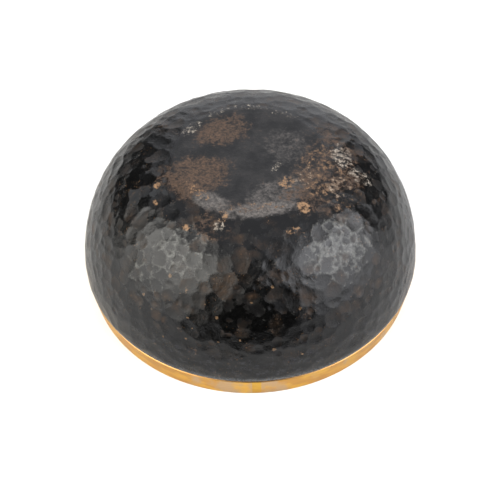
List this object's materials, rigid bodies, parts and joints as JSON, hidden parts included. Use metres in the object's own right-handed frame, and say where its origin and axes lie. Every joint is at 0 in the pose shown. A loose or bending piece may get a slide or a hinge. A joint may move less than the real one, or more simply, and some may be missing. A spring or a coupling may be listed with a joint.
{
  "type": "bowl",
  "caption": "Deep hammered copper bowl with a dark patina and a folded brass rim binding, standing upturned on its rim.",
  "frame": {"origin": "centre of the mouth, on the plane that the rim stands on", "axes": "+Z along the bowl's axis from the mouth to the base, so the stored bowl is upturned; -Y is the side of the band's brazed joint. Turn it 180 degrees about X to use it as a bowl."},
  "size_m": [0.2061, 0.206, 0.0931],
  "materials": {
    "patinated_copper": "hammered copper with a black waxed patina, rubbed through to bare metal in places",
    "brass_strip": "satin, fine brushing along the strip",
    "brazing": "satin, filed flush",
    "soft_solder": "dull grey tin solder"
  },
  "bodies": {
    "root": {"bowl_body": "patinated_copper", "rim_band": "brass_strip", "band_seam": "brazing", "solder_film": "soft_solder"}
  },
  "joints": []
}
